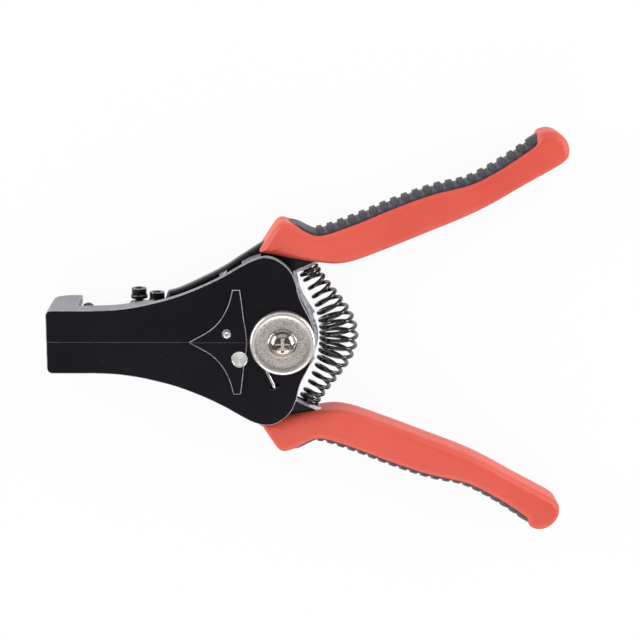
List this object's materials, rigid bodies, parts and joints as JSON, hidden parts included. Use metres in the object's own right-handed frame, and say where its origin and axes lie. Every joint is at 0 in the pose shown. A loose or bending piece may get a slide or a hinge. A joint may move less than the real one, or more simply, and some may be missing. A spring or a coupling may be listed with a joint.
{
  "type": "automatic wire stripper",
  "caption": "Automatic wire stripper: black parallel-jaw head with hooked tips, nickel pivot cover, barrel return spring and red handles with dark ribbed pads, standing open.",
  "frame": {"origin": "on the main pivot's axis, at the pivot nut's back face", "axes": "+X towards the handles, +Y towards the upper handle, +Z out of the front face"},
  "size_m": [0.1766, 0.141, 0.0293],
  "materials": {
    "black_casting": "semi-gloss",
    "black_lever": "semi-gloss",
    "black_screws": "gloss",
    "black_spring": "gloss",
    "red_grip": "satin",
    "dark_pad": "matte",
    "nickel": "satin",
    "bright_steel": "satin",
    "tool_steel": "satin"
  },
  "bodies": {
    "lower_lever_assy": {"lower_lever": "black_lever", "lower_front_plate": "black_casting", "lower_front_gripper": "tool_steel", "lower_hinge_pin": "bright_steel", "large_pin": "bright_steel", "lower_grip": "red_grip", "lower_grip_pad": "dark_pad", "pivot_screw": "nickel", "pivot_sleeve": "bright_steel", "front_spacer": "bright_steel", "back_washer": "bright_steel", "pivot_nut": "nickel", "spring_cover": "nickel", "torsion_spring": "bright_steel", "return_spring": "black_spring", "closing_cam": "tool_steel", "lower_spring_peg": "tool_steel"},
    "upper_lever_assy": {"upper_lever": "black_lever", "upper_front_plate": "black_casting", "upper_front_blade": "tool_steel", "upper_hinge_pin": "bright_steel", "small_pin": "bright_steel", "upper_grip": "red_grip", "upper_grip_pad": "dark_pad", "upper_spring_peg": "tool_steel"},
    "upper_back_jaw_assy": {"upper_back_jaw": "black_casting", "upper_back_blade": "tool_steel", "upper_socket_screws": "black_screws", "upper_lock_nuts": "black_screws", "upper_blade_screw": "black_screws", "cam_follower": "bright_steel"},
    "lower_back_jaw_assy": {"lower_back_jaw": "black_casting", "lower_back_gripper": "tool_steel", "lower_socket_screws": "black_screws", "lower_lock_nuts": "black_screws", "lower_gripper_screw": "black_screws"}
  },
  "joints": [
    {"name": "handle_squeeze", "type": "hinge", "parent": "lower_lever_assy", "child": "upper_lever_assy", "pos_m": [0, 0, 0], "axis": [0, 0, -1], "range_deg": [0, 22], "stiffness_Nm_per_rad": 0.8, "springref_deg": -20.05, "deforming": ["return_spring"]},
    {"name": "upper_jaw_close", "type": "hinge", "parent": "upper_lever_assy", "child": "upper_back_jaw_assy", "pos_m": [-0.0156, 0.0125, 0.0068], "axis": [0, 1, 0], "range_deg": [0, 7]},
    {"name": "lower_jaw_close", "type": "hinge", "parent": "lower_lever_assy", "child": "lower_back_jaw_assy", "pos_m": [-0.0156, -0.0125, 0.0068], "axis": [0, 1, 0], "range_deg": [0, 7]}
  ],
  "couplings": [
    {"joint": "upper_jaw_close", "follows": "handle_squeeze", "ratio": 0.318},
    {"joint": "lower_jaw_close", "follows": "handle_squeeze", "ratio": 0.318}
  ]
}
